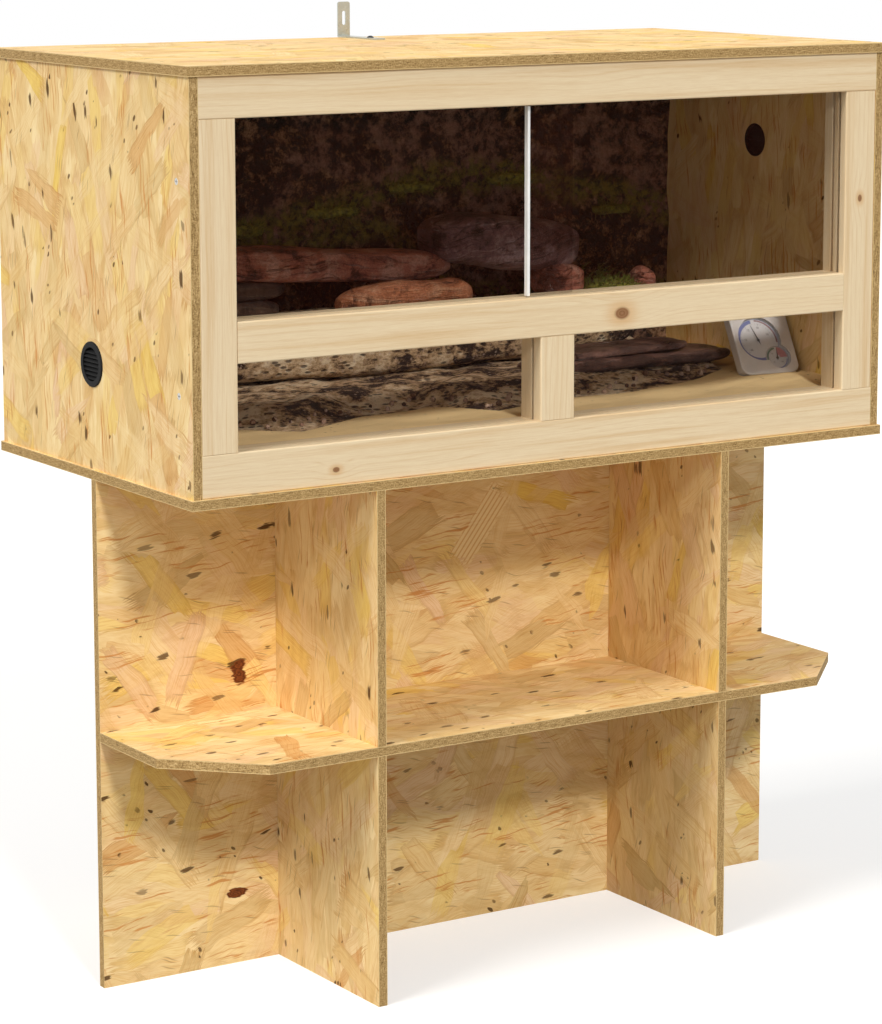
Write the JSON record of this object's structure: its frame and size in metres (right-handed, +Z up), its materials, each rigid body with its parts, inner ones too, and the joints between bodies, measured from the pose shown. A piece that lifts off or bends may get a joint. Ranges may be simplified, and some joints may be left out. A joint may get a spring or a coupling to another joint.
{
  "type": "terrarium with stand",
  "caption": "Wooden reptile terrarium with sliding dark glass, fixed lower glass, side vents and a wall bracket, on a cross-lapped stand with a shelf, with rocks, sand and a thermo-hygrometer.",
  "frame": {"origin": "on the floor, under the centre of the case's footprint", "axes": "+X to the right as the front is seen, +Y from the front to the back, +Z up"},
  "size_m": [1, 0.5, 1.171],
  "materials": {
    "beech": "beech dowel",
    "black_mesh": "black painted perforated sheet",
    "black_needle": "black",
    "black_plastic": "satin moulded",
    "black_screw": "black",
    "cast_zinc": "dull cast zinc",
    "clear_glass": "faintly tinted float glass",
    "clear_plastic": "clear sheet",
    "coil_metal": "bimetal strip",
    "crumbs": "rough crumbs",
    "dark_stone": "flat dark slab",
    "galvanised_steel": "bright zinc plate",
    "gravel": "mixed gravel and bark",
    "grey_plastic": "satin moulded",
    "grey_stone": "streaked slab",
    "layered_stone": "moulded layered rock",
    "moss": "dry moss",
    "moulded_rock": "moulded rock, mottled",
    "orange_stone": "worn slab",
    "pine": "planed pine, unvarnished",
    "printed_dial": "printed plate",
    "red_stone": "worn slab",
    "sand": "fine dry sand",
    "steel_pin": "bright",
    "strand_board": "sanded oriented strand board",
    "tinted_glass": "dark brown tint, polished edges",
    "white_plastic": "satin extrusion",
    "zinc": "bright zinc plate"
  },
  "bodies": {
    "cabinet": {"back_panel": "strand_board", "board_screws": "zinc", "bottom_panel": "strand_board", "cam_bolts": "cast_zinc", "cam_discs": "cast_zinc", "flat_stone_lower": "dark_stone", "flat_stone_upper": "dark_stone", "frame_bottom_rail": "pine", "frame_centre_post": "pine", "frame_dowels": "beech", "frame_left_stile": "pine", "frame_middle_rail": "pine", "frame_right_stile": "pine", "frame_side_screws": "zinc", "frame_top_rail": "pine", "gauge_back_cover": "grey_plastic", "gauge_case": "grey_plastic", "gauge_dial_plate": "printed_dial", "gauge_leg_pin": "steel_pin", "gauge_lens": "clear_plastic", "gravel_bank": "gravel", "gravel_crumbs": "crumbs", "grey_slab": "grey_stone", "humidity_coil": "coil_metal", "left_lower_slab": "layered_stone", "left_side_panel": "strand_board", "left_upper_slab": "layered_stone", "left_vent_cap": "black_plastic", "left_vent_mesh": "black_mesh", "left_vent_ring": "black_plastic", "long_red_slab": "red_stone", "lower_left_glass": "clear_glass", "lower_right_glass": "clear_glass", "moss_cushions": "moss", "panel_dowels": "beech", "right_side_panel": "strand_board", "right_vent_cap": "black_plastic", "right_vent_mesh": "black_mesh", "right_vent_ring": "black_plastic", "rock_backdrop": "moulded_rock", "round_end_slab": "orange_stone", "sand_bed": "sand", "small_red_stone": "red_stone", "stand_centre_panel": "strand_board", "stand_left_divider": "strand_board", "stand_right_divider": "strand_board", "stand_shelf": "strand_board", "strata_ledge": "layered_stone", "stump_stone": "red_stone", "temperature_coil": "coil_metal", "top_panel": "strand_board", "wall_bracket": "galvanised_steel", "wall_bracket_screw": "black_screw"},
    "left_pane": {"left_sliding_pane": "tinted_glass"},
    "right_pane": {"right_sliding_pane": "tinted_glass", "right_pane_edge_strip": "white_plastic"},
    "temperature_pointer": {"temperature_needle": "black_needle"},
    "humidity_pointer": {"humidity_needle": "black_needle"},
    "leg": {"gauge_leg": "grey_plastic"}
  },
  "joints": [
    {"name": "left_pane_slide", "type": "slide", "parent": "cabinet", "child": "left_pane", "axis": [1, 0, 0], "range_m": [0, 0.408]},
    {"name": "right_pane_slide", "type": "slide", "parent": "cabinet", "child": "right_pane", "axis": [1, 0, 0], "range_m": [-0.399, 0]},
    {"name": "temperature_needle_turn", "type": "hinge", "parent": "cabinet", "child": "temperature_pointer", "pos_m": [0.43061, -0.08332, 0.73291], "axis": [-0.1163, -0.8492, 0.515], "range_deg": [-152, 118], "stiffness_Nm_per_rad": 0.0005},
    {"name": "humidity_needle_turn", "type": "hinge", "parent": "cabinet", "child": "humidity_pointer", "pos_m": [0.45102, -0.09864, 0.70992], "axis": [-0.1163, -0.8492, 0.515], "range_deg": [-127, 143], "stiffness_Nm_per_rad": 0.0005},
    {"name": "gauge_leg_fold", "type": "hinge", "parent": "cabinet", "child": "leg", "pos_m": [0.43775, -0.07024, 0.73842], "axis": [0.9907, -0.1357, 0], "range_deg": [-50, 0]}
  ]
}
